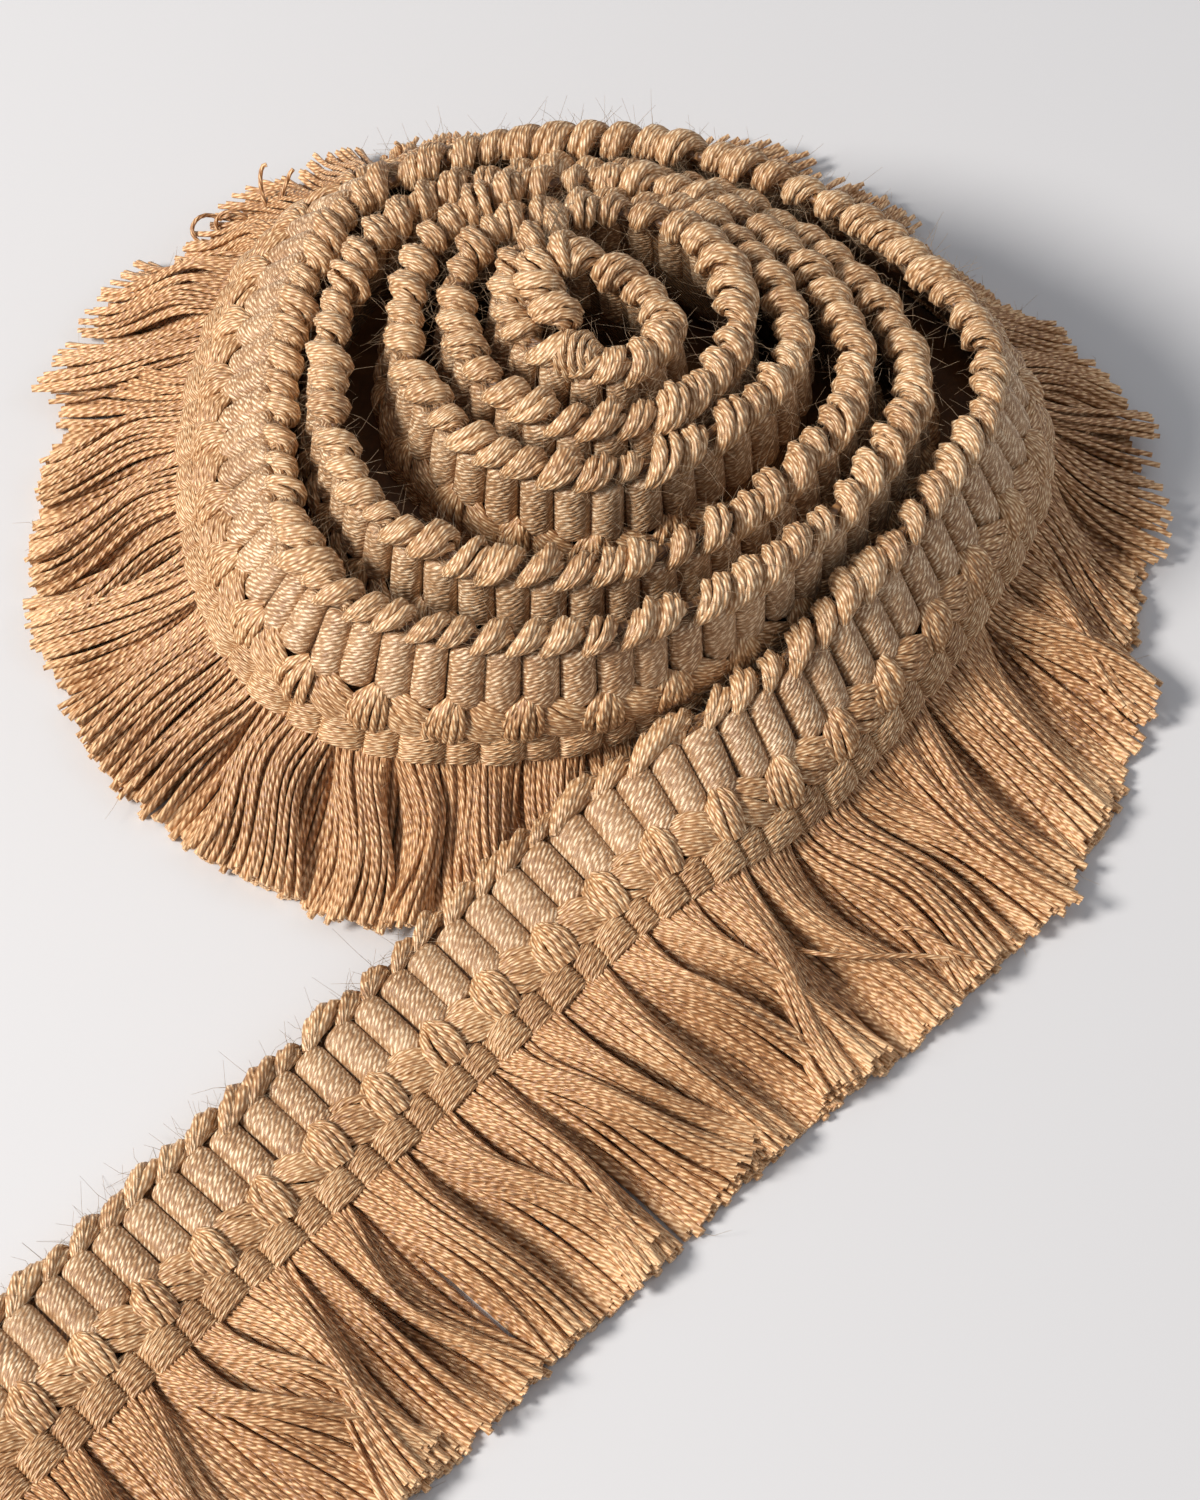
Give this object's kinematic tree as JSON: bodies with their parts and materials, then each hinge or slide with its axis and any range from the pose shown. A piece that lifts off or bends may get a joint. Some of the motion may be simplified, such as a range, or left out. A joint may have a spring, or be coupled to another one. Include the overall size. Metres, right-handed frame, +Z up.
{
  "type": "fringe trim",
  "caption": "Length of brush fringe trim with a woven looped heading, wound into a low domed roll with its loose end running out flat on the table.",
  "frame": {"origin": "middle of the roll's flat foot, on the surface that it rests on", "axes": "+Z up out of the surface; the loose end runs out from the roll along -X, with its fringe on the -Y side"},
  "size_m": [0.2096, 0.1453, 0.0365],
  "materials": {
    "heading": "woven heading of plied camel yarn, matt with a faint sheen on the threads",
    "fringe": "cut plied camel yarn, soft and slightly fuzzy"
  },
  "bodies": {
    "root": {"roll": "heading", "tail_heading": "heading", "roll_fringe": "fringe", "tail_fringe": "fringe"}
  },
  "joints": []
}
